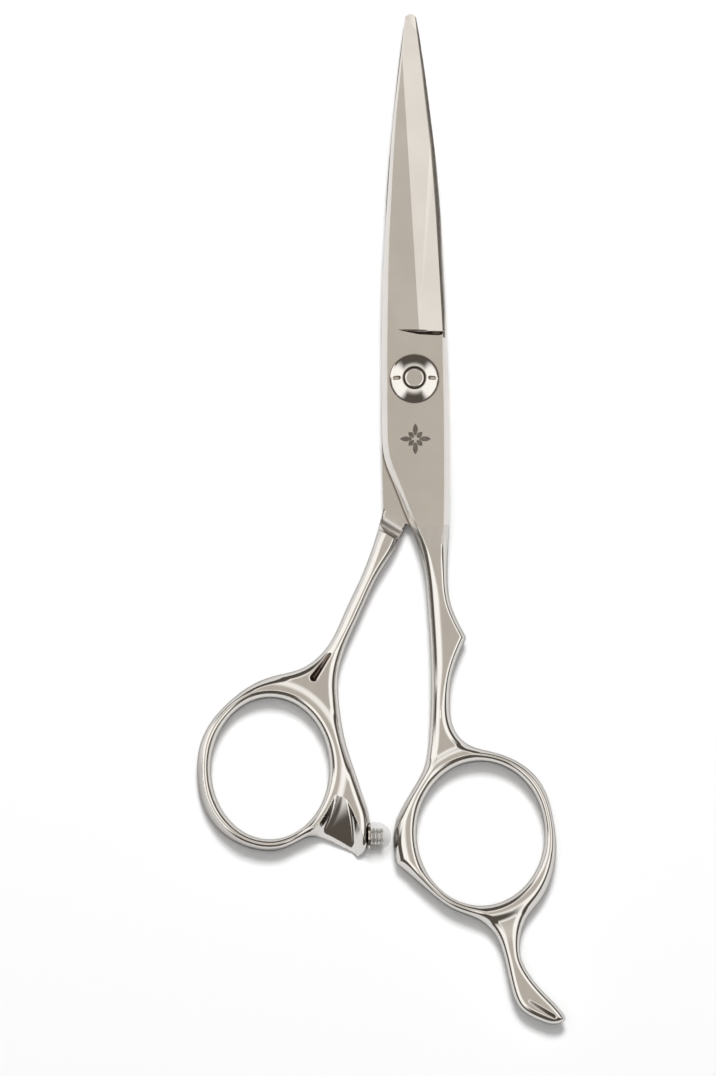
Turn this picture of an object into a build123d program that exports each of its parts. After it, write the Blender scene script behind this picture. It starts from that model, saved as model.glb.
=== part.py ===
"""Hair cutting shears with offset handles, closed and lying flat.

Frame: millimetres, +Z is the pivot axis and points up through the tension nut,
+Y points to the blade tips.  The origin is on the pivot axis, on the flat underside
of the pivot post's flange, which is the plane that the shears rest on.
The upper half carries the finger ring and tang, the lower half the thumb ring.
"""
import math
import os

from build123d import *

# Thickness stack along the pivot axis
FLANGE_T = 0.7
PLATE_T = 2.2
RIDE_GAP = 0.1
THUMB_PLATE_BOTTOM = FLANGE_T
THUMB_PLATE_TOP = THUMB_PLATE_BOTTOM + PLATE_T
FINGER_PLATE_BOTTOM = THUMB_PLATE_TOP + RIDE_GAP
FINGER_PLATE_TOP = FINGER_PLATE_BOTTOM + PLATE_T
HANDLE_T = FINGER_PLATE_TOP
EDGE_BREAK = 0.4

# Blades
TIP_Y = 62.8
TIP_X = -0.55
BLADE_BASE_Y = 8.3
BLADE_END_HEIGHT = 1.0
BEVEL_WIDTH = 0.9
BEVEL_DEPTH = 1.6
BEVEL_END_Y = -23.5
UNDER_BLADE_WIDTH = 0.955
GRIND_START_X = -2.6
RIDGE_BASE_X = 0.8
RIDGE_TIP_X = -2.4
RIDGE_DROP = 0.25
EDGE_BASE_X = 5.0
EDGE_BASE_HEIGHT = 1.1
EDGE_GRIND_REACH = 2.0

# Step where the grinding ends: x, width along the blade, width and depth of the hollow at its foot
RUN_OUT = [
    (-6.0, 0.02, 0.01, 0.0), (GRIND_START_X, 0.06, 0.02, 0.01), (-1.0, 0.42, 0.15, 0.09),
    (RIDGE_BASE_X, 0.78, 0.28, 0.13), (2.6, 0.88, 0.1, 0.03), (4.0, 0.95, 0.06, 0.015),
    (5.0, 0.78, 0.06, 0.015), (7.0, 0.3, 0.06, 0.015)]

# Pivot hardware
POST_R = 1.75
POST_TOP = 6.35
FLANGE_R = 3.6
BUTTON_ROUND = 0.5
SHOULDER_FLAT = 1.45
FIT = 0.03
BUSH_WALL = 0.36
RACE_POCKET_R = 3.9
RACE_POCKET_DEPTH = 0.55
RACE_T = 0.2
RACE_OUTER_R = 3.8
RACE_INNER_R = 2.0
BALL_R = 0.38
BALL_CIRCLE_R = 2.95
BALL_COUNT = 12
CAGE_T = 0.36
CAGE_INNER_R = 2.2
CAGE_OUTER_R = 3.65
WASHER_POCKET_R = 3.3
WASHER_POCKET_DEPTH = 0.6
WASHER_R = 3.2
FRICTION_WASHER_T = 0.23
SPRING_T = 0.15
NUT_R = 4.05
NUT_LIFT = 0.05
NUT_RIM_T = 0.25
NUT_HUB_R = 2.0
NUT_HUB_T = 1.1
KEY_SLOT_WIDTH = 0.7
KEY_SLOT_LENGTH = 1.35
KEY_SLOT_X = 2.95
KEY_SLOT_FLOOR = 0.35

# Bumper
BUMPER_Y = -76.5
LUG_FACE_X = -7.7
BUMPER_TIP_X = -3.9
BUMPER_R = 2.4
STUD_R = 0.6
STUD_HEAD_R = 1.4
STUD_HEAD_T = 2.1
STUD_DEPTH = 1.9
SEAT_T = 0.35
SEAT_R = 2.2

# Finger holes: centre x, centre y, half width, half height
THUMB_HOLE = (-24.0, -65.2, 9.8, 11.8)
FINGER_HOLE = (10.9, -76.0, 10.6, 12.0)

# Weld lines between blades and handles
FINGER_WELD = [(-0.5, -25.0), (5.75, -25.0)]
THUMB_WELD = [(-5.2, -21.65), (-1.3, -24.2)]
CROTCH_Y = -24.7
RING_START_Y = -48.0
SCOOP_R = 3.0


def spline_through(points):
    return Spline(*[Vector(x, y) for x, y in points])


def face_from(*edges):
    return make_face(Wire(list(edges)))


def prism(face, bottom, top):
    return extrude(Pos(0, 0, bottom) * face, amount=top - bottom, dir=(0, 0, 1))


def disc(radius, bottom, top):
    return Pos(0, 0, (bottom + top) / 2) * Cylinder(radius, top - bottom)


def ring(inner, outer, bottom, top):
    return disc(outer, bottom, top) - disc(inner, bottom - 1, top + 1)


def double_flat(radius, half_flat, bottom, top):
    """Round bar with two flats, so that the post can't turn in the lower half."""
    middle = (bottom + top) / 2
    return disc(radius, bottom, top) & Pos(0, 0, middle) * Box(2 * half_flat, 20, top - bottom)


# Blades

def blade_outline(narrowing=1.0):
    """Spine on the left, cutting edge on the right, plate narrowing to the shank."""
    def curve(points):
        return spline_through([(narrowing * x, y) for x, y in points])

    spine = curve([
        (-0.5, -25.0), (-1.7, -22.0), (-3.4, -17.6), (-4.9, -13.6), (-5.4, -8.0),
        (-5.4, 8.0), (-5.05, 22.0), (-4.4, 32.5), (-3.5, 44.5), (-2.4, 54.0), (-1.5, 62.2)])
    edge = curve([
        (0.4, 62.2), (1.7, 54.0), (2.9, 44.5), (4.05, 34.0), (4.7, 24.0),
        (5.3, 12.0), (5.75, -2.0), (5.85, -12.0), (5.75, -25.0)])
    tip = ThreePointArc(spine @ 1, (narrowing * TIP_X, TIP_Y), edge @ 0)
    return face_from(spine, tip, edge, Line(edge @ 1, spine @ 0))


def is_weld(edge):
    return edge.geom_type == GeomType.LINE and edge.length > 4


def blade_blank(outline):
    """Plate with its ride face at z = 0 and bevelled edges around its outer face."""
    blank = prism(outline, 0, PLATE_T)
    outer_face = blank.faces().sort_by(Axis.Z)[-1]
    rim = [edge for edge in outer_face.edges() if edge.center().Y > BEVEL_END_Y]
    return chamfer(rim, BEVEL_WIDTH, BEVEL_DEPTH, reference=outer_face)


def block_above(points):
    """Big block whose underside is the plane through three points."""
    first, second, third = [Vector(*point) for point in points]
    normal = (second - first).cross(third - first).normalized()
    if normal.Z < 0:
        normal = normal * -1
    return Plane(origin=first, x_dir=second - first, z_dir=normal) * Pos(0, 0, 50) * Box(300, 300, 100)


def facet_height(x, y):
    """Height of the ground facet above the ride face."""
    across = (EDGE_BASE_HEIGHT - PLATE_T + RIDGE_DROP) / (EDGE_BASE_X - RIDGE_BASE_X)
    drop = BLADE_END_HEIGHT - PLATE_T + RIDGE_DROP - across * (RIDGE_TIP_X - RIDGE_BASE_X)
    along = drop / (TIP_Y - BLADE_BASE_Y)
    return PLATE_T - RIDGE_DROP + across * (x - RIDGE_BASE_X) + along * (y - BLADE_BASE_Y)


def ground_height(x):
    """Height of the ground faces above the ride face, at the foot of the step."""
    taper = PLATE_T - RIDGE_DROP * (x - GRIND_START_X) / (RIDGE_BASE_X - GRIND_START_X)
    return min(PLATE_T, taper, facet_height(x, BLADE_BASE_Y))


def run_out():
    """Space ahead of the curved step where the grinding ends, widest at mid blade."""
    sections = []
    for x, width, *_ in RUN_OUT:
        back = BLADE_BASE_Y - width
        sections.append(Plane.YZ.offset(x) * Polygon(
            (BLADE_BASE_Y, -3), (BLADE_BASE_Y, ground_height(x) - 0.01), (back, PLATE_T), (back, 6),
            (90, 6), (90, -3), align=None))
    return loft(sections, ruled=True)


def wheel_dip():
    """Shallow hollow that the grinding wheel leaves at the foot of the step."""
    sections = []
    for x, width, hollow_width, hollow_depth in RUN_OUT[1:]:
        back = BLADE_BASE_Y - width
        front = BLADE_BASE_Y + 0.1
        foot = ground_height(x)
        sections.append(Plane.YZ.offset(x) * Polygon(
            (back, 6), (back, PLATE_T), (BLADE_BASE_Y - hollow_width, foot - hollow_depth),
            (front, foot), (front, 6), align=None))
    return loft(sections, ruled=True)


def ground_away():
    """What is ground off a blank: a taper to the tip and a facet down to the cutting edge."""
    ridge_base = (RIDGE_BASE_X, BLADE_BASE_Y, PLATE_T - RIDGE_DROP)
    ridge_tip = (RIDGE_TIP_X, TIP_Y, BLADE_END_HEIGHT)
    taper = block_above([(GRIND_START_X, BLADE_BASE_Y, PLATE_T), ridge_base, ridge_tip])
    facet = block_above([ridge_base, ridge_tip, (EDGE_BASE_X, BLADE_BASE_Y, EDGE_BASE_HEIGHT)])
    return ((taper + facet) & run_out()) + wheel_dip()


def edge_grind(narrowing=1.0):
    """What is honed off along the cutting edge: a narrow bevel that ends at the run-out."""
    lines = [
        (BLADE_BASE_Y, 4.75, 0.82), (14.0, 4.45, 0.8), (20.5, 4.1, 0.78), (27.5, 3.68, 0.74),
        (34.0, 3.23, 0.68), (40.0, 2.7, 0.62), (47.0, 1.93, 0.6), (54.0, 1.2, 0.65),
        (60.0, 0.48, 0.7), (63.5, 0.1, 0.7)]
    sections = []
    for y, inner, slope in lines:
        start = narrowing * inner
        end = narrowing * (inner + EDGE_GRIND_REACH)
        top = facet_height(inner, y)
        sections.append(Plane.XZ.offset(-y) * Polygon(
            (start, top), (end, top - slope * EDGE_GRIND_REACH), (end, 6), (start, 6), align=None))
    return loft(sections, ruled=True)


def ground_blade(narrowing=1.0):
    return blade_blank(blade_outline(narrowing)) - ground_away() - edge_grind(narrowing)


def make_finger_blade():
    blade = Pos(0, 0, FINGER_PLATE_BOTTOM) * ground_blade()
    bore = disc(POST_R + FIT + BUSH_WALL, 0, 10)
    race_pocket = disc(RACE_POCKET_R, 0, FINGER_PLATE_BOTTOM + RACE_POCKET_DEPTH)
    washer_pocket = disc(WASHER_POCKET_R, FINGER_PLATE_TOP - WASHER_POCKET_DEPTH, 10)
    return blade - bore - race_pocket - washer_pocket


def make_thumb_blade():
    """The same blade a little narrower, turned over and swung in line with the upper one."""
    swing = 2 * math.degrees(math.atan2(-TIP_X, TIP_Y))
    turned = Rot(0, 0, swing) * Rot(0, 180, 0) * ground_blade(UNDER_BLADE_WIDTH)
    blade = Pos(0, 0, THUMB_PLATE_TOP) * turned
    race_pocket = disc(RACE_POCKET_R, THUMB_PLATE_TOP - RACE_POCKET_DEPTH, 10)
    post_hole = double_flat(POST_R + FIT, SHOULDER_FLAT + FIT, -1, 10)
    beyond_weld = Plane(
        origin=(*THUMB_WELD[0], 0),
        x_dir=(0, 0, 1),
        z_dir=(THUMB_WELD[1][1] - THUMB_WELD[0][1], THUMB_WELD[0][0] - THUMB_WELD[1][0], 0))
    handle_side = beyond_weld * Pos(0, 0, 20) * Box(40, 60, 40)
    crotch = Pos(0, CROTCH_Y - 20, 0) * Box(40, 40, 20)
    return blade - race_pocket - post_hole - handle_side - crotch


# Handles

def finger_handle_outline():
    inner = spline_through([
        FINGER_WELD[0], (0.6, -28.0), (1.5, -31.5), (2.1, -37.0), (2.6, -45.0), (2.7, -54.0),
        (2.4, -60.0), (1.4, -65.4), (-0.8, -69.4), (-3.1, -73.6)])
    bumper_pad = ThreePointArc((-3.1, -73.6), (-3.6, -77.2), (-3.0, -81.0))
    under_ring = spline_through([
        (-3.0, -81.0), (1.7, -85.1), (6.6, -88.7), (10.7, -90.4), (13.2, -92.7), (14.8, -96.9),
        (15.9, -101.8), (17.3, -104.9), (20.6, -107.0), (23.9, -107.6)])
    tang_end = ThreePointArc((23.9, -107.6), (24.8, -106.9), (24.3, -105.7))
    outer = spline_through([
        (24.3, -105.7), (21.6, -102.7), (19.0, -99.6), (17.45, -96.3), (17.4, -93.4), (18.5, -90.0),
        (20.8, -87.0), (22.5, -83.7), (23.4, -78.8), (22.9, -73.5), (20.9, -67.7), (17.2, -64.2),
        (12.5, -62.4), (8.7, -61.1), (6.6, -58.7), (5.85, -54.5), (6.3, -49.5), (8.6, -43.4)])
    spur = spline_through([(8.6, -43.4), (7.6, -41.5), (6.1, -38.0), (5.5, -33.7), FINGER_WELD[1]])
    weld = Line(FINGER_WELD[1], FINGER_WELD[0])
    return face_from(inner, bumper_pad, under_ring, tang_end, outer, spur, weld)


def thumb_handle_outline():
    outer = spline_through([
        THUMB_WELD[0], (-5.6, -23.4), (-6.4, -26.3), (-9.1, -33.6), (-11.6, -39.0), (-14.1, -44.2),
        (-16.4, -46.9), (-19.4, -48.7), (-22.8, -49.6), (-26.4, -50.9), (-30.4, -53.7),
        (-33.5, -57.0), (-35.5, -60.8), (-36.2, -65.4), (-35.5, -70.4), (-33.4, -74.4),
        (-30.1, -77.2), (-26.0, -78.7), (-21.5, -78.4), (-17.0, -76.5), (-13.2, -77.8), (-9.5, -80.2)])
    lug = spline_through([(-9.5, -80.2), (-8.2, -78.6), (-7.5, -75.8), (-7.7, -72.6), (-8.4, -70.4)])
    inner = spline_through([
        (-8.4, -70.4), (-9.5, -67.1), (-11.6, -60.4), (-12.6, -54.2), (-12.7, -49.8),
        (-11.9, -46.2), (-9.1, -39.6), (-5.8, -32.6), (-3.1, -28.2), THUMB_WELD[1]])
    return face_from(outer, lug, inner, Line(THUMB_WELD[1], THUMB_WELD[0]))


def finger_hole(centre_x, centre_y, half_width, half_height):
    return Pos(centre_x, centre_y) * Ellipse(half_width, half_height)


def handle_blank(outline, hole):
    """Handle of full thickness with its finger hole and rounded edges."""
    blank = prism(outline, 0, HANDLE_T) - prism(finger_hole(*hole), -1, HANDLE_T + 1)
    faces = blank.faces().sort_by(Axis.Z)
    rim = [edge for face in (faces[0], faces[-1]) for edge in face.edges() if not is_weld(edge)]
    return fillet(rim, EDGE_BREAK)


def shank_underside():
    """Wedge below the shank: flush with the lower plate at the weld, on the rest plane at the ring."""
    side = Plane.YZ * Polygon(
        (0, -1), (0, THUMB_PLATE_BOTTOM), (-25, THUMB_PLATE_BOTTOM), (RING_START_Y, 0),
        (RING_START_Y, -1), align=None)
    return extrude(side, amount=60, both=True)


def scoop(weld, lowest, direction):
    """Round groove across the start of a handle, where it grows from one plate to both."""
    start = Vector(*weld[0])
    end = Vector(*weld[1])
    middle = (start + end) / 2
    axis_plane = Plane(
        origin=(middle.X, middle.Y, lowest + direction * SCOOP_R),
        x_dir=(0, 0, 1),
        z_dir=end - start)
    return axis_plane * Cylinder(SCOOP_R, 30)


def make_finger_handle():
    blank = handle_blank(finger_handle_outline(), FINGER_HOLE) - shank_underside()
    return blank - scoop(FINGER_WELD, FINGER_PLATE_BOTTOM, -1)


def make_thumb_handle():
    blank = handle_blank(thumb_handle_outline(), THUMB_HOLE) - shank_underside()
    lug_flat = Pos(LUG_FACE_X + 5, BUMPER_Y, HANDLE_T / 2) * Box(10, 2 * SEAT_R + 0.4, 20)
    stud_hole = along_x(BUMPER_Y, STUD_R, LUG_FACE_X - STUD_DEPTH, 0)
    return blank - scoop(THUMB_WELD, THUMB_PLATE_TOP, 1) - lug_flat - stud_hole


# Bumper, on the lug's flat and facing the finger ring

def along_x(centre_y, radius, start, end):
    bar = Cylinder(radius, end - start, rotation=(0, 90, 0))
    return Pos((start + end) / 2, centre_y, HANDLE_T / 2) * bar


def make_bumper_seat():
    washer = along_x(BUMPER_Y, SEAT_R, LUG_FACE_X, LUG_FACE_X + SEAT_T)
    return washer - along_x(BUMPER_Y, STUD_R, LUG_FACE_X - 1, LUG_FACE_X + 1)


def make_bumper_stud():
    shaft_end = LUG_FACE_X + SEAT_T
    shaft = along_x(BUMPER_Y, STUD_R, LUG_FACE_X - STUD_DEPTH, shaft_end)
    return shaft + along_x(BUMPER_Y, STUD_HEAD_R, shaft_end, shaft_end + STUD_HEAD_T)


def make_bumper_cap():
    base = LUG_FACE_X + SEAT_T
    shoulder = base + 0.9
    profile = make_face(Wire([
        Line((base, 0), (BUMPER_TIP_X, 0)),
        ThreePointArc((BUMPER_TIP_X, 0), (BUMPER_TIP_X - 0.8, 1.75), (shoulder, BUMPER_R)),
        Line((shoulder, BUMPER_R), (base, BUMPER_R)),
        Line((base, BUMPER_R), (base, 0))]))
    dome = Pos(0, BUMPER_Y, HANDLE_T / 2) * revolve(profile, axis=Axis.X)
    return dome - along_x(BUMPER_Y, STUD_HEAD_R, base, base + STUD_HEAD_T)


# Pivot

def make_pivot_post():
    flange = chamfer(disc(FLANGE_R, 0, FLANGE_T).edges().sort_by(Axis.Z)[0], 0.2)
    pocket_floor = THUMB_PLATE_TOP - RACE_POCKET_DEPTH
    keyed = double_flat(POST_R, SHOULDER_FLAT, FLANGE_T, pocket_floor)
    shaft = disc(POST_R, pocket_floor, POST_TOP)
    button = fillet(shaft.edges().sort_by(Axis.Z)[-1], BUTTON_ROUND)
    return flange + keyed + button


def make_bearing_race(bottom):
    return ring(RACE_INNER_R, RACE_OUTER_R, bottom, bottom + RACE_T)


def ball_places():
    middle = (THUMB_PLATE_TOP + FINGER_PLATE_BOTTOM) / 2
    return [loc * Pos(0, 0, middle) for loc in PolarLocations(BALL_CIRCLE_R, BALL_COUNT)]


def make_bearing_balls():
    return Compound(children=[place * Sphere(BALL_R) for place in ball_places()])


def make_bearing_cage():
    middle = (THUMB_PLATE_TOP + FINGER_PLATE_BOTTOM) / 2
    cage = ring(CAGE_INNER_R, CAGE_OUTER_R, middle - CAGE_T / 2, middle + CAGE_T / 2)
    for place in ball_places():
        cage -= place * Cylinder(BALL_R + FIT, 1)
    return cage


def make_pivot_bush():
    bottom = FINGER_PLATE_BOTTOM + RACE_POCKET_DEPTH
    top = FINGER_PLATE_TOP - WASHER_POCKET_DEPTH
    return ring(POST_R + FIT, POST_R + FIT + BUSH_WALL, bottom, top)


def make_friction_washer():
    bottom = FINGER_PLATE_TOP - WASHER_POCKET_DEPTH
    return ring(POST_R + 0.1, WASHER_R, bottom, bottom + FRICTION_WASHER_T)


def make_spring_washer():
    """Disc spring, its rim on the friction washer and its bore against the nut."""
    bottom = FINGER_PLATE_TOP - WASHER_POCKET_DEPTH + FRICTION_WASHER_T + 0.02
    rise = FINGER_PLATE_TOP + NUT_LIFT - SPRING_T - bottom
    inner = POST_R + 0.15
    outer = WASHER_R - 0.1
    section = Plane.XZ * Polygon(
        (outer, bottom), (outer, bottom + SPRING_T),
        (inner, bottom + rise + SPRING_T), (inner, bottom + rise), align=None)
    return revolve(section, axis=Axis.Z)


def make_tension_nut():
    """Shallow round nut: domed flank, countersunk bore and two key slots."""
    bottom = FINGER_PLATE_TOP + NUT_LIFT
    rim = bottom + NUT_RIM_T
    hub = bottom + NUT_HUB_T
    bore = POST_R + FIT
    section = Plane.XZ * make_face(Wire([
        Line((bore, bottom), (NUT_R, bottom)),
        Line((NUT_R, bottom), (NUT_R, rim)),
        ThreePointArc((NUT_R, rim), (NUT_R - 1.0, rim + 0.49), (NUT_HUB_R, hub)),
        Line((NUT_HUB_R, hub), (bore, hub - 0.3)),
        Line((bore, hub - 0.3), (bore, bottom))]))
    nut = revolve(section, axis=Axis.Z)
    slot = prism(SlotOverall(KEY_SLOT_LENGTH, KEY_SLOT_WIDTH), bottom + KEY_SLOT_FLOOR, hub + 1)
    return nut - Pos(KEY_SLOT_X, 0) * slot - Pos(-KEY_SLOT_X, 0) * slot


def make_all():
    lower_race = THUMB_PLATE_TOP - RACE_POCKET_DEPTH
    upper_race = FINGER_PLATE_BOTTOM + RACE_POCKET_DEPTH - RACE_T
    return {
        "finger_blade": make_finger_blade(),
        "finger_handle": make_finger_handle(),
        "thumb_blade": make_thumb_blade(),
        "thumb_handle": make_thumb_handle(),
        "bumper_seat": make_bumper_seat(),
        "bumper_stud": make_bumper_stud(),
        "bumper_cap": make_bumper_cap(),
        "pivot_post": make_pivot_post(),
        "pivot_bush": make_pivot_bush(),
        "bearing_race_lower": make_bearing_race(lower_race),
        "bearing_race_upper": make_bearing_race(upper_race),
        "bearing_cage": make_bearing_cage(),
        "bearing_balls": make_bearing_balls(),
        "friction_washer": make_friction_washer(),
        "spring_washer": make_spring_washer(),
        "tension_nut": make_tension_nut(),
    }


def main():
    os.makedirs("parts", exist_ok=True)
    for name, shape in make_all().items():
        export_step(shape, f"parts/{name}.step")


if __name__ == "__main__":
    main()
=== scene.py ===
"""Looks of the hair cutting shears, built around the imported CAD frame.

The blades, the pivot hardware and the bumper are the CAD nodes with bevels and materials.
The two polished handles are rounded bodies, meshed here from their outline and their section,
and they stand for the plain CAD handles.  The scene is in metres.  Outlines, sections and heights
are written in millimetres and scaled by MM where they become objects.
"""
import math

import bmesh
import bpy
import numpy as np
import openvdb
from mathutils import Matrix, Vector
from mathutils.kdtree import KDTree


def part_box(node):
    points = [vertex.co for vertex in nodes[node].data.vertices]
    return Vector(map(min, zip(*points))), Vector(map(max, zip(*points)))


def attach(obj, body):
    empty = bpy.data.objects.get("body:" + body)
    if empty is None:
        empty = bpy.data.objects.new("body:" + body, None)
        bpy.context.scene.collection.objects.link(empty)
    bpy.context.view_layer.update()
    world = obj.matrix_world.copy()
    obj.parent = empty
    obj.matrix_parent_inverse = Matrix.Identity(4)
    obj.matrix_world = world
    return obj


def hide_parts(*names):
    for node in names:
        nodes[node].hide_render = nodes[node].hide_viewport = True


MM = 0.001

# Heights, in millimetres above the rest plane
REST_Z = 0.0
LOWER_PLATE_BOTTOM = 0.7
LOWER_PLATE_TOP = 2.9
UPPER_PLATE_BOTTOM = 3.0
UPPER_PLATE_TOP = 5.2

# Meshing of the handles, in millimetres.  FAR stands for no edge on that side, DEEPEST_OUTSIDE is the
# most that a depth outside the outline counts, OVERLAP_AT_WELD is how far a handle reaches into its
# blade, and HAIR keeps its faces just inside the blade's.
VOXEL = 0.2
OUTLINE_STEP = 0.06
FAR = 99.0
DEEPEST_OUTSIDE = -9
OVERLAP_AT_WELD = 0.4
HAIR = 0.004

# Where the grinding of the blades runs out, in millimetres: the step's place along Y, how far from it
# the painted shade on the step's faces begins and ends its fading, and the X where it fades out at the edge
# bevel
STEP_Y = 7.9
STEP_REACH = (0.75, 0.9)
STEP_END_X = (5.0, 5.3)

# How the CAD nodes are drawn, in millimetres: rounds on the sharp edges, and the stud inside its cap
EDGE_ROUND = 0.05
STUD_CLEARANCE = 0.03

# Etched rosette, in millimetres: centre, petal lengths, half width of a petal and the mark's height
ROSETTE_CENTRE = (0.15, -10.2)
PETAL_LENGTHS = (2.6, 1.612) * 4
PETAL_WIDTH = 0.42
PETAL_START = 0.2
PETAL_SAMPLES = 12
ETCH_GAP = 0.002
ETCH_HEIGHT = 0.008

# Colours, linear RGB
SATIN_DARK = (0.665, 0.632, 0.60)
SATIN_LIGHT = (0.715, 0.685, 0.65)
POLISH = (0.70, 0.68, 0.655)
NUT_STEEL = (0.70, 0.675, 0.645)
STEEL_RIM = (0.36, 0.35, 0.34)
# painted shade on the faces of the blades' grinding step
STEP_SHADE = (0.10, 0.08, 0.065)
# painted shade along the grooves of the handles
GROOVE_SHADE = (0.16, 0.13, 0.11)
# painted shade in the creases, where two faces meet
SATIN_CREVICE_SHADE = (0.12, 0.09, 0.07)
POLISH_CREVICE_SHADE = (0.25, 0.2, 0.16)
SOFT_BOX = (1.38, 1.36, 1.32)
CEILING_CORE = (0.65, 0.605, 0.545)
DARK_ROOM = (0.12, 0.105, 0.09)

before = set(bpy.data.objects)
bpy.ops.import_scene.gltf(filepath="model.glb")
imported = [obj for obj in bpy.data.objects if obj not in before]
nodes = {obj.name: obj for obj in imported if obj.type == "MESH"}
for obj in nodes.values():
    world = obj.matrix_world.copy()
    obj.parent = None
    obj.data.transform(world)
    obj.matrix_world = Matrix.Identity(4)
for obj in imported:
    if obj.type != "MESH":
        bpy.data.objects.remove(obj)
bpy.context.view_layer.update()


# ---------------------------------------------------------------- curves and distances

def natural_spline(points, step):
    """Points every step or so along the natural cubic spline through the given points."""
    p = np.array(points, float)
    chords = np.linalg.norm(np.diff(p, axis=0), axis=1)
    knots = np.concatenate([[0.0], np.cumsum(chords)])
    count = len(p)
    system = np.zeros((count, count))
    right = np.zeros((count, 2))
    system[0, 0] = system[-1, -1] = 1.0
    for i in range(1, count - 1):
        before, after = chords[i - 1], chords[i]
        system[i, i - 1:i + 2] = before, 2 * (before + after), after
        right[i] = 6 * ((p[i + 1] - p[i]) / after - (p[i] - p[i - 1]) / before)
    bend = np.linalg.solve(system, right)
    t = np.linspace(0, knots[-1], max(int(knots[-1] / step), 2) + 1)
    i = np.clip(np.searchsorted(knots, t) - 1, 0, count - 2)
    h = chords[i][:, None]
    a = (knots[i + 1] - t)[:, None] / h
    b = (t - knots[i])[:, None] / h
    return a * p[i] + b * p[i + 1] + ((a ** 3 - a) * bend[i] + (b ** 3 - b) * bend[i + 1]) * h ** 2 / 6


def sampled(*sections):
    """Samples along spline sections that meet at corners."""
    samples = [natural_spline(section, OUTLINE_STEP)[:-1] for section in sections]
    return np.concatenate(samples)


def ellipse(centre_x, centre_y, half_width, half_height):
    turn = np.linspace(0, 2 * math.pi, 1400, endpoint=False)
    return np.stack([centre_x + half_width * np.cos(turn), centre_y + half_height * np.sin(turn)], 1)


class Curve:
    """Dense samples along a closed or an open curve, with a fast distance to it."""

    def __init__(self, samples, closed=True):
        self.points = samples
        self.closed = closed
        along = np.roll(samples, -1, 0) - np.roll(samples, 1, 0)
        following = np.roll(samples, -1, 0)
        area = np.sum(samples[:, 0] * following[:, 1] - following[:, 0] * samples[:, 1])
        self.outward = np.stack([along[:, 1], -along[:, 0]], 1) * math.copysign(1, area)
        self.tree = KDTree(len(samples))
        for i, (x, y) in enumerate(samples):
            self.tree.insert((x, y, 0.0), i)
        self.tree.balance()

    def nearest(self, xy):
        """Distance to the curve, and the nearest sample's index."""
        index = np.array([self.tree.find((x, y, 0.0))[1] for x, y in xy])
        best = np.full(len(xy), np.inf)
        last = len(self.points) - 1
        for step in (-1, 1):
            a = self.points[index]
            other = (index + step) % (last + 1) if self.closed else np.clip(index + step, 0, last)
            ab = self.points[other] - a
            length = np.maximum(np.sum(ab * ab, 1), 1e-12)
            t = np.clip(np.sum((xy - a) * ab, 1) / length, 0, 1)[:, None]
            best = np.minimum(best, np.linalg.norm(xy - a - t * ab, axis=1))
        return best, index

    def depth(self, xy):
        """Signed distance of a closed curve, positive inside."""
        far, index = self.nearest(xy)
        outside = np.sum((xy - self.points[index]) * self.outward[index], 1) > 0
        return np.where(outside, -far, far)


def ease(value, start, end):
    """0 before start, 1 after end, smooth between."""
    t = np.clip((value - start) / (end - start), 0, 1)
    return t * t * (3 - 2 * t)


def mix(a, b, t):
    return a + (b - a) * t


def soft_max(a, b, width):
    """Maximum of two fields, rounded over the given width."""
    h = np.clip(0.5 + 0.5 * (a - b) / width, 0, 1)
    return mix(b, a, h) + width * h * (1 - h)


# ---------------------------------------------------------------- handles

def rounded_section(z, depths, shape):
    """Field of a rounded section: negative inside, zero on the surface, about millimetres."""
    p = shape["power"]
    over = np.maximum((z - (shape["top"] - shape["top_round"])) / shape["top_round"], 0)
    under = np.maximum((shape["bottom"] + shape["bottom_round"] - z) / shape["bottom_round"], 0)
    left, right, hole = [np.maximum(depth, DEEPEST_OUTSIDE) for depth in depths[1:]]
    near_hole = np.maximum(1 - hole / shape["hole_edge"], 0) ** p
    upper = (over, shape["edge"], shape["right_edge"])
    lower = (under, shape["lower_edge"], shape["lower_edge"])
    halves = []
    for outside, left_edge, right_edge in (upper, lower):
        sides = np.maximum(1 - left / left_edge, 0) ** p + np.maximum(1 - right / right_edge, 0) ** p
        halves.append((sides + near_hole + outside ** p) ** (1 / p) - 1)
    return np.maximum(*halves)


# Outlines as spline sections that meet at corners, and holes as centre and half sizes
FINGER_WELD_Y = -25.0
FINGER_OUTLINE = (
    [(-1.2, -23.4), (-0.5, -25.0), (0.6, -28.0), (1.5, -31.5), (2.1, -37.0), (2.6, -45.0), (2.7, -54.0),
     (2.4, -60.0), (1.4, -65.4), (-0.8, -69.4), (-3.1, -73.6)],
    [(-3.1, -73.6), (-3.6, -77.2), (-3.0, -81.0)],
    [(-3.0, -81.0), (1.7, -85.1), (6.6, -88.7), (10.7, -90.4), (13.2, -92.7), (14.8, -96.9),
     (15.9, -101.8), (17.3, -104.9), (20.6, -106.95), (23.9, -107.38), (24.75, -106.8), (24.3, -105.7),
     (21.6, -102.7), (19.0, -99.6), (17.45, -96.3), (17.4, -93.4), (18.5, -90.0), (20.8, -87.0),
     (22.5, -83.7), (23.4, -78.8), (22.9, -73.5), (20.9, -67.7), (17.2, -64.2), (12.5, -62.4),
     (8.7, -61.1), (6.6, -58.7), (5.85, -54.5), (6.3, -49.5), (8.6, -43.4)],
    [(8.6, -43.4), (7.6, -41.5), (6.1, -38.0), (5.5, -33.7), (5.75, -25.0), (5.78, -23.4)],
    [(5.78, -23.4), (2.3, -23.4), (-1.2, -23.4)],
)
FINGER_HOLE = (10.9, -76.0, 10.6, 12.0)
THUMB_WELD = ((-5.2, -21.65), (-1.3, -24.2))
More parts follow.
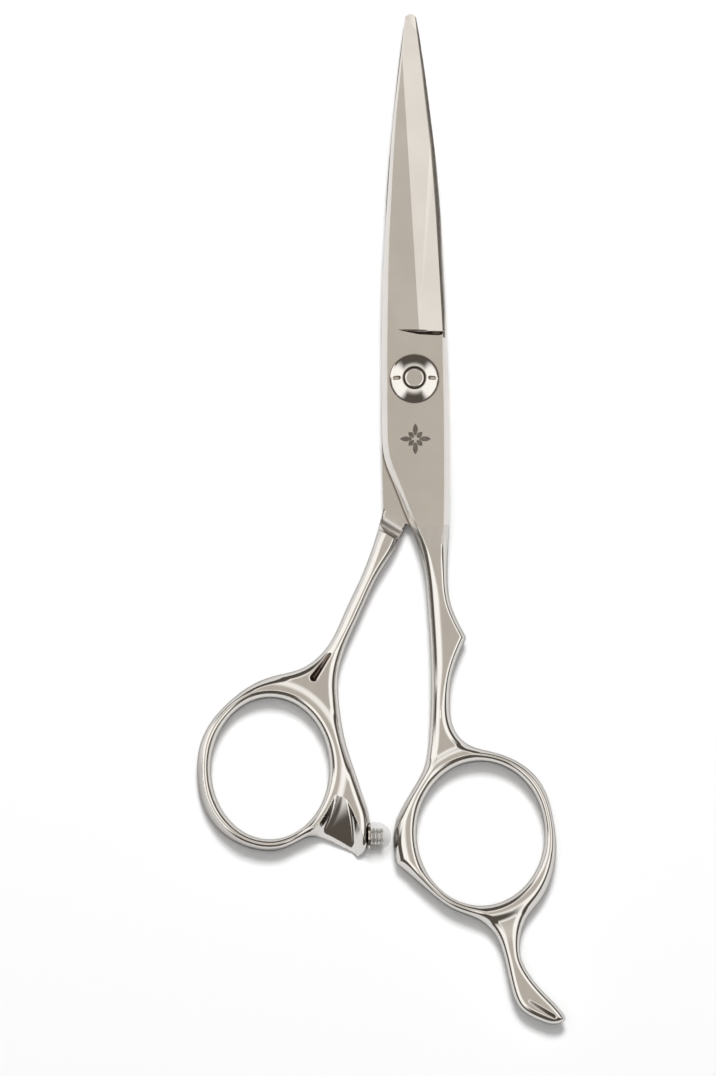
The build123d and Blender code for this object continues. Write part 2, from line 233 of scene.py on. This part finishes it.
THUMB_OUTLINE = (
    [(-5.05, -20.0), (-5.2, -21.65), (-5.6, -23.4), (-6.4, -26.3), (-9.1, -33.6), (-11.6, -39.0),
     (-14.1, -44.2), (-16.4, -46.9), (-19.4, -48.7), (-22.8, -49.6), (-26.4, -50.9), (-30.4, -53.7),
     (-33.5, -57.0), (-35.5, -60.8), (-36.17, -65.4), (-35.5, -70.4), (-33.4, -74.4), (-30.1, -77.2),
     (-26.0, -78.7), (-21.5, -78.4), (-17.0, -76.5), (-13.2, -77.8), (-9.5, -80.2)],
    [(-9.5, -80.2), (-8.2, -78.6), (-7.5, -75.8), (-7.7, -72.6), (-8.4, -70.4), (-9.5, -67.1),
     (-11.6, -60.4), (-12.6, -54.2), (-12.7, -49.8), (-11.9, -46.2), (-9.1, -39.6), (-5.8, -32.6),
     (-3.1, -28.2), (-1.3, -24.2), (-0.7, -22.8)],
    [(-0.7, -22.8), (-2.9, -21.4), (-5.05, -20.0)],
)
THUMB_HOLE = (-24.0, -65.2, 9.8, 11.8)

# Grooves of the handles, in millimetres.  A stroke is its start, its end and the radius at each, and
# only the side above UPPER_SIDE_Z gets painted shade along it.
GROOVE_SLOPE = 1.5
GROOVE_ROUND = 0.14
UPPER_SIDE_Z = (3.0, 3.5)
CLEFT = ((-14.2, -46.4), (-16.8, -50.2), 0.35, 0.65)
TANG_CREASE = ((18.9, -103.9), (22.9, -106.4), 0.16, 0.3)

# Recess of the thumb lug: the slope and the line of its wall, the way its floor falls, the floor's
# slope with its growth, and the X over which it deepens
WALL_SLOPE = 1.5
LUG_CREASE = ((-11.2, -70.4), (-8.4, -76.9))
LUG_FALL = (-0.35, -0.94)
LUG_FLOOR = (0.28, 0.026)
LUG_DEEPENS_X = (-17.5, -2.0)

# Scoop from the thumb half's flat end up to its shank, measured down from the weld
SCOOP_START = 0.6
SCOOP_R = 3.0


def beyond(x, y, start, end):
    """Distance to the right of the line from start to end."""
    run_x, run_y = end[0] - start[0], end[1] - start[1]
    return ((x - start[0]) * run_y - (y - start[1]) * run_x) / math.hypot(run_x, run_y)


def groove(x, y, start, end, start_radius, end_radius):
    """Depth of a short V-shaped stroke whose half width goes from one radius to the other."""
    run = np.subtract(end, start)
    t = np.clip(((x - start[0]) * run[0] + (y - start[1]) * run[1]) / (run @ run), 0, 1)
    off = np.hypot(x - start[0] - t * run[0], y - start[1] - t * run[1])
    inside = mix(start_radius, end_radius, t) - np.hypot(off, GROOVE_ROUND)
    return GROOVE_SLOPE * (inside + np.hypot(inside, GROOVE_ROUND)) / 2


def grooves(x, y):
    """Both short strokes: the cleft above the thumb ring and the crease of the tang."""
    return np.maximum(groove(x, y, *CLEFT), groove(x, y, *TANG_CREASE))


def ring_ripple(across, along):
    """Slow change of the inner round around a ring, as hand grinding leaves it."""
    turn = np.arctan2(along, across)
    return 0.16 * np.sin(3 * turn + 0.6) + 0.1 * np.sin(5 * turn + 2.0)


def finger_section(x, y, depth_in):
    """Upper half's handle: plate at the weld, crowned shank, oval ring, creased tang."""
    down = FINGER_WELD_Y - y
    leaves_plate = ease(down, 0.0, 9.0)
    near_hole = 1 - ease(depth_in, 1.8, 4.6)
    tang = ease(down, 64.0, 71.0)
    waist = ease(down, 5.0, 18.0) * (1 - ease(down, 24.0, 40.0))
    web = ease(depth_in, 1.5, 3.4) * (1 - ease(depth_in, 6.0, 14.0))
    foot = mix(LOWER_PLATE_BOTTOM, REST_Z, ease(down, 26.0, 42.0) * (1 - tang))
    edge = mix(2.0, 1.6, near_hole * (1 - tang)) - 0.7 * tang
    shank = leaves_plate * (1 - ease(down, 24.0, 36.0))
    bulge = ease(down, 6.0, 13.0) * (1 - ease(down, 22.0, 30.0))
    sunk = 0.25 * waist + 0.6 * tang + 0.4 * web * leaves_plate
    ripple = ring_ripple(x - FINGER_HOLE[0], y - FINGER_HOLE[1])
    return {
        "top": UPPER_PLATE_TOP - HAIR - sunk - grooves(x, y),
        "bottom": mix(UPPER_PLATE_BOTTOM, foot + 0.5 * tang, ease(down, -0.6, 3.2)),
        "edge": mix(0.9, edge - 0.3 * shank + 0.8 * bulge, leaves_plate),
        "right_edge": mix(0.9, edge - 0.9 * shank, leaves_plate),
        "lower_edge": mix(0.06, edge, ease(down, -0.6, 5.0)),
        "hole_edge": 1.4 + ripple,
        "top_round": mix(1.6, 2.1, leaves_plate) - 0.6 * tang,
        "bottom_round": mix(0.15, 2.0, ease(down, -0.6, 6.0)) - 0.4 * tang,
        "power": mix(1.05, 2.0, leaves_plate),
    }


def thumb_section(x, y, depth_in):
    """Lower half's handle: flat end of the plate, a scoop up to the crowned shank, ring and lug."""
    down = beyond(x, y, *THUMB_WELD)
    leaves_plate = ease(down, 1.4, 6.0)
    near_hole = 1 - ease(depth_in, 1.8, 4.6)
    waist = ease(down, 6.0, 16.0) * (1 - ease(down, 18.0, 32.0))
    web = ease(depth_in, 1.5, 3.4) * (1 - ease(depth_in, 6.0, 14.0))
    fall = np.maximum((x - LUG_CREASE[0][0]) * LUG_FALL[0] + (y - LUG_CREASE[0][1]) * LUG_FALL[1], 0)
    plane = (LUG_FLOOR[0] * fall + LUG_FLOOR[1] * fall ** 2) * (0.55 + ease(x, *LUG_DEEPENS_X))
    walls = -WALL_SLOPE * soft_max(-beyond(x, y, *LUG_CREASE), 1.5 - depth_in, 0.3)
    facet = np.maximum(-soft_max(-walls, -plane, 0.6), 0)
    high = UPPER_PLATE_TOP - 0.1 - 0.25 * waist - 0.35 * web - grooves(x, y) - facet
    into_scoop = np.clip(down - SCOOP_START, 0, SCOOP_R)
    scoop = LOWER_PLATE_TOP - HAIR + SCOOP_R - np.sqrt(SCOOP_R ** 2 - into_scoop ** 2)
    edge = mix(1.9, 1.55, near_hole)
    shank = 1 - ease(down, 18.0, 28.0)
    rounded = ease(down, 2.5, 3.5)
    ripple = ring_ripple(x - THUMB_HOLE[0], y - THUMB_HOLE[1])
    return {
        "top": np.minimum(scoop, high),
        "bottom": mix(LOWER_PLATE_BOTTOM + HAIR, REST_Z, ease(-y, 42.0, 54.0)),
        "edge": mix(0.06, edge - 0.3 * shank, rounded),
        "right_edge": mix(0.06, edge - 0.9 * shank, rounded),
        "lower_edge": mix(0.9, edge, leaves_plate),
        "hole_edge": 1.35 + ripple,
        "top_round": mix(0.06, 2.1, rounded),
        "bottom_round": mix(1.6, 2.0, leaves_plate),
        "power": mix(1.05, 2.0, leaves_plate),
    }


def finger_field(x, y, z, depths):
    field = rounded_section(z, depths, finger_section(x, y, depths[3]))
    return soft_max(field, y - FINGER_WELD_Y - OVERLAP_AT_WELD, 0.05)


def thumb_field(x, y, z, depths):
    field = rounded_section(z, depths, thumb_section(x, y, depths[3]))
    return soft_max(field, -beyond(x, y, *THUMB_WELD) - OVERLAP_AT_WELD, 0.05)


def mesh_from_field(name, field, depths, low, high):
    """Meshes the zero surface of a field, then moves each vertex exactly onto it.

    Each vertex of the upper side keeps the depth of the groove there, for the painted shade along the
    grooves in the material."""
    across, along, up = [np.arange(a, b + VOXEL, VOXEL) for a, b in zip(low, high)]
    x, y = np.meshgrid(across, along, indexing="ij")
    flat = [depth.reshape(x.shape)[:, :, None] for depth in depths(x.ravel(), y.ravel())]
    values = field(x[:, :, None], y[:, :, None], up[None, None, :], flat)
    volume = openvdb.FloatGrid(background=1.0)
    volume.copyFromArray(values.astype(np.float32))
    vertices, quads = volume.convertToQuads(isovalue=0.0)
    vertices, normals = settle(np.array(low) + vertices * VOXEL, field, depths)
    mesh = bpy.data.meshes.new(name)
    mesh.from_pydata((vertices * MM).tolist(), [], quads.tolist())
    mesh.polygons.foreach_set("use_smooth", np.ones(len(quads), bool))
    mesh.update()
    x, y, z = vertices.T
    upper_side = ease(z, *UPPER_SIDE_Z)
    groove_shade_depth = mesh.attributes.new("groove", "FLOAT", "POINT")
    groove_shade_depth.data.foreach_set("value", (grooves(x, y) * upper_side).astype(np.float32))
    mesh.normals_split_custom_set_from_vertices(normals.tolist())
    piece = bpy.data.objects.new(name, mesh)
    bpy.context.scene.collection.objects.link(piece)
    return piece


def settle(vertices, field, depths):
    """Newton steps onto the surface; returns the vertices and the surface normals."""
    nudge = 0.03
    for _ in range(3):
        x, y, z = vertices.T
        here = depths(x, y)
        slope = np.stack([
            field(x + nudge, y, z, depths(x + nudge, y)) - field(x - nudge, y, z, depths(x - nudge, y)),
            field(x, y + nudge, z, depths(x, y + nudge)) - field(x, y - nudge, z, depths(x, y - nudge)),
            field(x, y, z + nudge, here) - field(x, y, z - nudge, here)], 1) / (2 * nudge)
        size = np.maximum(np.linalg.norm(slope, axis=1), 0.2)
        step = np.clip(field(x, y, z, here) / size, -VOXEL / 2, VOXEL / 2)
        vertices = vertices - slope / size[:, None] * step[:, None]
    return vertices, slope / size[:, None]


def make_handle(name, outline, sides, hole, ring_y, field, low, high):
    """Handle from its outline; sides lists the outline sections left and right of the shank."""
    rim = Curve(sampled(*outline))
    opening = Curve(ellipse(*hole))
    flanks = [Curve(sampled(*[outline[i] for i in side]), closed=False) for side in sides]

    def depths(x, y):
        """Depths inside the outline, from its left side, from its right side and from the hole."""
        xy = np.stack([x, y], 1)
        whole = rim.depth(xy)
        shank = ease(y, *ring_y)
        left, right = [np.copysign(flank.nearest(xy)[0], whole) for flank in flanks]
        nearer_left = left <= right
        apart = [np.where(nearer_left, whole, FAR), np.where(nearer_left, FAR, whole)]
        blended = [1 / mix(1 / alone, 1 / side, shank) for alone, side in zip(apart, (left, right))]
        return whole, blended[0], blended[1], -opening.depth(xy)

    return mesh_from_field(name, field, depths, low, high)


# ---------------------------------------------------------------- materials

def new_material(name):
    """A material with its node tree and its shader."""
    material = bpy.data.materials.new(name)
    material.use_nodes = True
    tree = material.node_tree
    shader = tree.nodes["Principled BSDF"]
    return material, tree, shader


def add_noise(tree, scale, stretch=(1, 1, 1), detail=4.0):
    """Noise in object space, scale in cycles per metre, stretched along the axes."""
    place = tree.nodes.new("ShaderNodeTexCoord")
    mapping = tree.nodes.new("ShaderNodeMapping")
    mapping.inputs["Scale"].default_value = stretch
    noise = tree.nodes.new("ShaderNodeTexNoise")
    noise.inputs["Scale"].default_value = scale
    noise.inputs["Detail"].default_value = detail
    noise.inputs["Roughness"].default_value = 0.55
    tree.links.new(place.outputs["Object"], mapping.inputs["Vector"])
    tree.links.new(mapping.outputs["Vector"], noise.inputs["Vector"])
    return noise.outputs["Fac"]


def spread(tree, value, low, high):
    """Maps 0.3 to 0.7 of a noise onto low to high."""
    node = tree.nodes.new("ShaderNodeMapRange")
    node.inputs["From Min"].default_value = 0.3
    node.inputs["From Max"].default_value = 0.7
    node.inputs["To Min"].default_value = low
    node.inputs["To Max"].default_value = high
    tree.links.new(value, node.inputs["Value"])
    return node.outputs["Result"]


def tint(tree, value, dark, light):
    """Blend from one colour to another; each is a tuple or the output of a node."""
    node = tree.nodes.new("ShaderNodeMix")
    node.data_type = "RGBA"
    for socket, colour in ((node.inputs[6], dark), (node.inputs[7], light)):
        if isinstance(colour, tuple):
            socket.default_value = (*colour, 1)
        else:
            tree.links.new(colour, socket)
    tree.links.new(value, node.inputs[0])
    return node.outputs[2]


def maths(tree, operation, first, second=0.0):
    """One Math node; each operand is a number or the output of a node."""
    node = tree.nodes.new("ShaderNodeMath")
    node.operation = operation
    for socket, value in zip(node.inputs, (first, second)):
        if isinstance(value, (int, float)):
            socket.default_value = value
        else:
            tree.links.new(value, socket)
    return node.outputs[0]


def smooth_between(tree, value, low, high):
    """0 below low, 1 above high, smooth between."""
    node = tree.nodes.new("ShaderNodeMapRange")
    node.interpolation_type = "SMOOTHSTEP"
    node.inputs["From Min"].default_value = low
    node.inputs["From Max"].default_value = high
    tree.links.new(value, node.inputs["Value"])
    return node.outputs["Result"]


def fade_out(tree, value, start, end):
    """1 below start, 0 above end, both in millimetres."""
    return maths(tree, "SUBTRACT", 1.0, smooth_between(tree, value, start * MM, end * MM))


def painted_crevice_shade(tree, colour, reach, darkest):
    """The colour, with painted shade from ambient occlusion in the creases where two faces meet."""
    near = tree.nodes.new("ShaderNodeAmbientOcclusion")
    near.samples = 8
    near.inputs["Distance"].default_value = reach * MM
    open_air = smooth_between(tree, near.outputs["AO"], 0.45, 0.85)
    shade = tree.nodes.new("ShaderNodeMix")
    shade.data_type = "RGBA"
    shade.blend_type = "MULTIPLY"
    shade.inputs[0].default_value = 1.0
    tree.links.new(colour, shade.inputs[6])
    tree.links.new(tint(tree, open_air, darkest, (1.0, 1.0, 1.0)), shade.inputs[7])
    return shade.outputs[2]


def add_bump(tree, shader, value, height):
    node = tree.nodes.new("ShaderNodeBump")
    node.inputs["Distance"].default_value = height
    tree.links.new(value, node.inputs["Height"])
    tree.links.new(node.outputs["Normal"], shader.inputs["Normal"])


def painted_step_shade(tree, colour):
    """The colour, with painted shade on the faces of the step where the grinding wheel ran out."""
    place = tree.nodes.new("ShaderNodeTexCoord")
    facing = tree.nodes.new("ShaderNodeSeparateXYZ")
    split = tree.nodes.new("ShaderNodeSeparateXYZ")
    tree.links.new(place.outputs["Normal"], facing.inputs["Vector"])
    tree.links.new(place.outputs["Object"], split.inputs["Vector"])
    lengthwise = maths(tree, "ABSOLUTE", facing.outputs["Y"])
    off = maths(tree, "ABSOLUTE", maths(tree, "SUBTRACT", split.outputs["Y"], STEP_Y * MM))
    near = fade_out(tree, off, *STEP_REACH)
    inner = fade_out(tree, split.outputs["X"], *STEP_END_X)
    shade_on_step = maths(tree, "MULTIPLY", smooth_between(tree, lengthwise, 0.1, 0.24), near)
    shade_on_step = maths(tree, "MULTIPLY", shade_on_step, inner)
    return tint(tree, shade_on_step, colour, STEP_SHADE)


def satin_steel():
    """Blade steel: fine grain across the blade under a soft sheen, with painted shade on the grinding step
    and in the creases.
    """
    material, tree, shader = new_material("satin_steel")
    shader.inputs["Metallic"].default_value = 1.0
    grain = add_noise(tree, 1600, stretch=(0.2, 5, 1), detail=5)
    cloud = add_noise(tree, 120, detail=2)
    steel = tint(tree, spread(tree, cloud, 0, 1), SATIN_DARK, SATIN_LIGHT)
    steel = painted_crevice_shade(tree, painted_step_shade(tree, steel), 0.7, SATIN_CREVICE_SHADE)
    tree.links.new(steel, shader.inputs["Base Color"])
    tree.links.new(spread(tree, grain, 0.18, 0.24), shader.inputs["Roughness"])
    add_bump(tree, shader, grain, 6e-7)
    return material


def polished_steel(name, base, rough, satin_until=None):
    """Hand-polished stainless: nearly a mirror, with faint wipe marks and waviness, and painted shade in
    its grooves and creases.

    rough is the range of the roughness.  satin_until is the Y, in millimetres, down to which the
    satin finish of the blades runs on."""
    material, tree, shader = new_material(name)
    shader.inputs["Metallic"].default_value = 1.0
    shader.inputs["Specular Tint"].default_value = (*STEEL_RIM, 1)
    wipe = add_noise(tree, 700, stretch=(1, 0.3, 1), detail=5)
    wave = add_noise(tree, 130, detail=1)
    dark = tuple(0.95 * c for c in base)
    steel = tint(tree, spread(tree, wipe, 0, 1), dark, base)
    # painted shade along the grooves, from the depth kept on each vertex
    groove_shade_mask = tree.nodes.new("ShaderNodeAttribute")
    groove_shade_mask.attribute_name = "groove"
    steel = tint(tree, smooth_between(tree, groove_shade_mask.outputs["Fac"], 0.03, 0.2), steel, GROOVE_SHADE)
    tree.links.new(painted_crevice_shade(tree, steel, 0.5, POLISH_CREVICE_SHADE), shader.inputs["Base Color"])
    roughness = spread(tree, wipe, *rough)
    if satin_until is not None:
        place = tree.nodes.new("ShaderNodeTexCoord")
        split = tree.nodes.new("ShaderNodeSeparateXYZ")
        tree.links.new(place.outputs["Object"], split.inputs["Vector"])
        satin = smooth_between(tree, split.outputs["Y"], (satin_until - 5) * MM, (satin_until + 4) * MM)
        roughness = maths(tree, "ADD", roughness, maths(tree, "MULTIPLY", satin, 0.17))
    tree.links.new(roughness, shader.inputs["Roughness"])
    add_bump(tree, shader, wave, 8e-6)
    return material


def etched_steel():
    """The dark, dull tone of an electro-etched mark."""
    material, tree, shader = new_material("etched_steel")
    shader.inputs["Metallic"].default_value = 0.7
    speckle = add_noise(tree, 3000, detail=4)
    tree.links.new(tint(tree, spread(tree, speckle, 0, 1), (0.09, 0.078, 0.068), (0.20, 0.18, 0.16)),
                   shader.inputs["Base Color"])
    tree.links.new(spread(tree, speckle, 0.45, 0.6), shader.inputs["Roughness"])
    return material


def threaded_steel():
    """Bright stud with the fine rings of a thread: a bump, and light and dark bands painted into its colour
    as glints.
    """
    material, tree, shader = new_material("threaded_steel")
    shader.inputs["Metallic"].default_value = 1.0
    place = tree.nodes.new("ShaderNodeTexCoord")
    rings = tree.nodes.new("ShaderNodeTexWave")
    rings.inputs["Scale"].default_value = 500
    rings.inputs["Distortion"].default_value = 1.5
    rings.inputs["Detail"].default_value = 2
    tree.links.new(place.outputs["Object"], rings.inputs["Vector"])
    # painted highlight: the thread's rings are painted as light and dark bands in the colour
    tree.links.new(tint(tree, rings.outputs["Fac"], (0.5, 0.47, 0.43), (0.92, 0.9, 0.87)),
                   shader.inputs["Base Color"])
    shader.inputs["Roughness"].default_value = 0.15
    add_bump(tree, shader, rings.outputs["Fac"], 1.6e-4)
    return material


def clear_silicone():
    """The clear, slightly clouded bumper, seen through by alpha and without refraction."""
    material, tree, shader = new_material("clear_silicone")
    shader.inputs["IOR"].default_value = 1.41
    shader.inputs["Alpha"].default_value = 0.2
    cloud = add_noise(tree, 500, detail=3)
    clouded = tint(tree, cloud, (0.5, 0.49, 0.46), (0.62, 0.61, 0.58))
    tree.links.new(clouded, shader.inputs["Base Color"])
    tree.links.new(spread(tree, cloud, 0.02, 0.07), shader.inputs["Roughness"])
    return material


def natural_polymer():
    """Milky white plastic of the bush, the cage and the friction washer."""
    material, tree, shader = new_material("polymer")
    cloud = add_noise(tree, 800, detail=3)
    milky = tint(tree, cloud, (0.78, 0.77, 0.72), (0.88, 0.87, 0.83))
    tree.links.new(milky, shader.inputs["Base Color"])
    tree.links.new(spread(tree, cloud, 0.35, 0.5), shader.inputs["Roughness"])
    return material


def give(material, *names):
    """Puts the material on the named CAD nodes."""
    for name in names:
        mesh = nodes[name].data
        mesh.materials.clear()
        mesh.materials.append(material)


def soften_edges(width, *names):
    """Small rounds on the sharp edges, so that they catch the light."""
    for name in names:
        weld = nodes[name].modifiers.new("weld", "WELD")
        weld.merge_threshold = 1e-6
        bevel = nodes[name].modifiers.new("edge", "BEVEL")
        bevel.width = width * MM
        bevel.segments = 2
        bevel.limit_method = "ANGLE"
        bevel.angle_limit = math.radians(8)
        bevel.harden_normals = True


def draw_smaller(clearance, *names):
    """Draws a node a little smaller than its CAD, so that its faces don't coincide with its neighbour's."""
    for name in names:
        shrink = nodes[name].modifiers.new("clear of the cap", "DISPLACE")
        shrink.mid_level = 0.0
        shrink.strength = -clearance * MM


# ---------------------------------------------------------------- the object

def petal(turn, length):
    """Outline of one petal of the rosette, in millimetres from its centre."""
    there = [k / PETAL_SAMPLES for k in range(PETAL_SAMPLES)]
    back = [2 - k / PETAL_SAMPLES for k in range(PETAL_SAMPLES, 2 * PETAL_SAMPLES)]
    points = []
    for side, steps in ((1, there), (-1, back)):
        for s in steps:
            half = side * PETAL_WIDTH * math.sin(math.pi * s) ** 0.8
            reach = length * (PETAL_START + (1 - PETAL_START) * s)
            points.append(Vector((reach * math.cos(turn) - half * math.sin(turn),
                                  reach * math.sin(turn) + half * math.cos(turn), 0)))
    return points


def etched_rosette():
    """Plain petals, long and short in turn, a hair above the plate as an etched mark."""
    bm = bmesh.new()
    low = Vector((*ROSETTE_CENTRE, ETCH_GAP)) * MM
    low.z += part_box("finger_blade")[1].z
    for i, length in enumerate(PETAL_LENGTHS):
        outline = petal(2 * math.pi * i / len(PETAL_LENGTHS), length)
        bm.faces.new([bm.verts.new(low + point * MM) for point in outline])
    solid = bmesh.ops.extrude_face_region(bm, geom=bm.faces[:])
    raised = [item for item in solid["geom"] if isinstance(item, bmesh.types.BMVert)]
    bmesh.ops.translate(bm, vec=(0, 0, ETCH_HEIGHT * MM), verts=raised)
    bmesh.ops.recalc_face_normals(bm, faces=bm.faces[:])
    mesh = bpy.data.meshes.new("etched_rosette")
    bm.to_mesh(mesh)
    piece = bpy.data.objects.new("etched_rosette", mesh)
    bpy.context.scene.collection.objects.link(piece)
    return piece


def build_object():
    """Materials and bevels for the CAD nodes, the two polished handles and the etched mark."""
    satin = satin_steel()
    polish = polished_steel("polished_steel", POLISH, (0.04, 0.09), satin_until=-29)
    bright = polished_steel("nut_steel", NUT_STEEL, (0.05, 0.12))
    polymer = natural_polymer()
    give(satin, "finger_blade", "thumb_blade")
    give(bright, "tension_nut", "pivot_post", "bumper_seat",
         "bearing_race_lower", "bearing_race_upper", "bearing_balls", "spring_washer")
    give(threaded_steel(), "bumper_stud")
    give(polymer, "pivot_bush", "bearing_cage", "friction_washer")
    give(clear_silicone(), "bumper_cap")

    soften_edges(EDGE_ROUND, "finger_blade", "thumb_blade", "tension_nut")
    draw_smaller(STUD_CLEARANCE, "bumper_stud")

    rosette = etched_rosette()
    rosette.data.materials.append(etched_steel())
    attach(rosette, "finger_half")

    finger = make_handle("finger_grip", FINGER_OUTLINE, ((0, 1), (2, 3)), FINGER_HOLE, (-64, -54),
                         finger_field, (-4.4, -108.4, -0.6), (25.6, -23.8, 5.8))
    finger.data.materials.append(polish)
    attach(finger, "finger_half")
    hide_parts("finger_handle")

    thumb = make_handle("thumb_grip", THUMB_OUTLINE, ((0,), (1,)), THUMB_HOLE, (-54, -44),
                        thumb_field, (-37.0, -81.0, -0.6), (0.2, -20.2, 5.8))
    thumb.data.materials.append(polish)
    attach(thumb, "thumb_half")
    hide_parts("thumb_handle")


# ---------------------------------------------------------------- stage, light and camera

CAMERA_TARGET = Vector((-9.43, -26.6, 3.0)) * MM
CAMERA_DISTANCE = 0.9
CAMERA_ELEVATION = math.radians(82)
CAMERA_LENS = 180.4
SENSOR_WIDTH = 36
FLOOR_SIZE = 3
FLOOR_WHITE = 0.93

# What the steel mirrors: the middle of the ceiling, and the window's direction on the horizon
CEILING = (0.0, math.cos(CAMERA_ELEVATION), math.sin(CAMERA_ELEVATION))
WINDOW = (-0.905, 0.425)


def build_stage():
    """A plain pale floor at the height the object rests on."""
    bpy.ops.mesh.primitive_plane_add(size=FLOOR_SIZE, location=(0, 0, REST_Z))
    floor = bpy.context.object
    floor.name = "floor"
    material, _, shader = new_material("pale_floor")
    shader.inputs["Base Color"].default_value = (FLOOR_WHITE, FLOOR_WHITE, FLOOR_WHITE, 1)
    shader.inputs["Roughness"].default_value = 0.9
    floor.data.materials.append(material)


def add_light(name, azimuth, elevation, distance, size, power):
    """Square soft light aimed at the object, not mirrored by it; azimuth 0 is towards the handles."""
    a, e = math.radians(azimuth), math.radians(elevation)
    away = Vector((math.sin(a) * math.cos(e), -math.cos(a) * math.cos(e), math.sin(e)))
    data = bpy.data.lights.new(name, "AREA")
    data.shape = "RECTANGLE"
    data.size = data.size_y = size
    data.energy = power
    light = bpy.data.objects.new(name, data)
    light.location = CAMERA_TARGET + away * distance
    light.rotation_euler = away.to_track_quat("Z", "Y").to_euler()
    light.visible_glossy = False
    bpy.context.scene.collection.objects.link(light)


def studio_world():
    """What the steel mirrors: white soft boxes left and right, a window, a dim ceiling in a bright
    ring, and a dark room between."""
    world = bpy.data.worlds.new("studio")
    world.use_nodes = True
    world.cycles_visibility.diffuse = False
    bpy.context.scene.world = world
    tree = world.node_tree
    place = tree.nodes.new("ShaderNodeTexCoord")
    split = tree.nodes.new("ShaderNodeSeparateXYZ")
    tree.links.new(place.outputs["Generated"], split.inputs["Vector"])
    x, y, z = split.outputs
    overhead = maths(tree, "ADD", maths(tree, "MULTIPLY", y, CEILING[1]),
                     maths(tree, "MULTIPLY", z, CEILING[2]))
    flat = maths(tree, "SUBTRACT", 1.0, maths(tree, "MULTIPLY", z, z))
    level = maths(tree, "SQRT", maths(tree, "MAXIMUM", flat, 1e-4))
    sideways = maths(tree, "DIVIDE", maths(tree, "ABSOLUTE", x), level)
    boxes = maths(tree, "MULTIPLY", smooth_between(tree, sideways, 0.45, 0.77),
                  smooth_between(tree, z, 0.36, 0.56))
    along_window = maths(tree, "ADD", maths(tree, "MULTIPLY", x, WINDOW[0]),
                         maths(tree, "MULTIPLY", y, WINDOW[1]))
    towards_window = maths(tree, "DIVIDE", along_window, level)
    window = maths(tree, "MULTIPLY", smooth_between(tree, towards_window, 0.94, 0.985),
                   smooth_between(tree, z, 0.0, 0.06))
    ceiling = smooth_between(tree, overhead, 0.72, 0.90)
    dome = maths(tree, "MAXIMUM", maths(tree, "MAXIMUM", boxes, window), ceiling)
    lit = tint(tree, smooth_between(tree, overhead, 0.85, 0.985), SOFT_BOX, CEILING_CORE)
    colour = tint(tree, dome, DARK_ROOM, lit)
    tree.links.new(colour, tree.nodes["Background"].inputs["Color"])
    tree.nodes["Background"].inputs["Strength"].default_value = 1.0


def build_light():
    add_light("key", azimuth=176, elevation=64, distance=1.2, size=0.3, power=10.5)
    add_light("fill", azimuth=0, elevation=90, distance=1.5, size=2.0, power=16)
    studio_world()


def build_camera():
    """The photograph's view, from the handles' side and nearly straight above."""
    data = bpy.data.cameras.new("camera")
    data.lens = CAMERA_LENS
    data.sensor_width = SENSOR_WIDTH
    data.clip_start, data.clip_end = 0.05, 10
    camera = bpy.data.objects.new("camera", data)
    back = Vector((0, -math.cos(CAMERA_ELEVATION), math.sin(CAMERA_ELEVATION)))
    camera.location = CAMERA_TARGET + back * CAMERA_DISTANCE
    camera.rotation_euler = back.to_track_quat("Z", "Y").to_euler()
    bpy.context.scene.collection.objects.link(camera)
    bpy.context.scene.camera = camera


build_object()
build_stage()
build_light()
build_camera()
bpy.context.scene.view_settings.view_transform = "Standard"
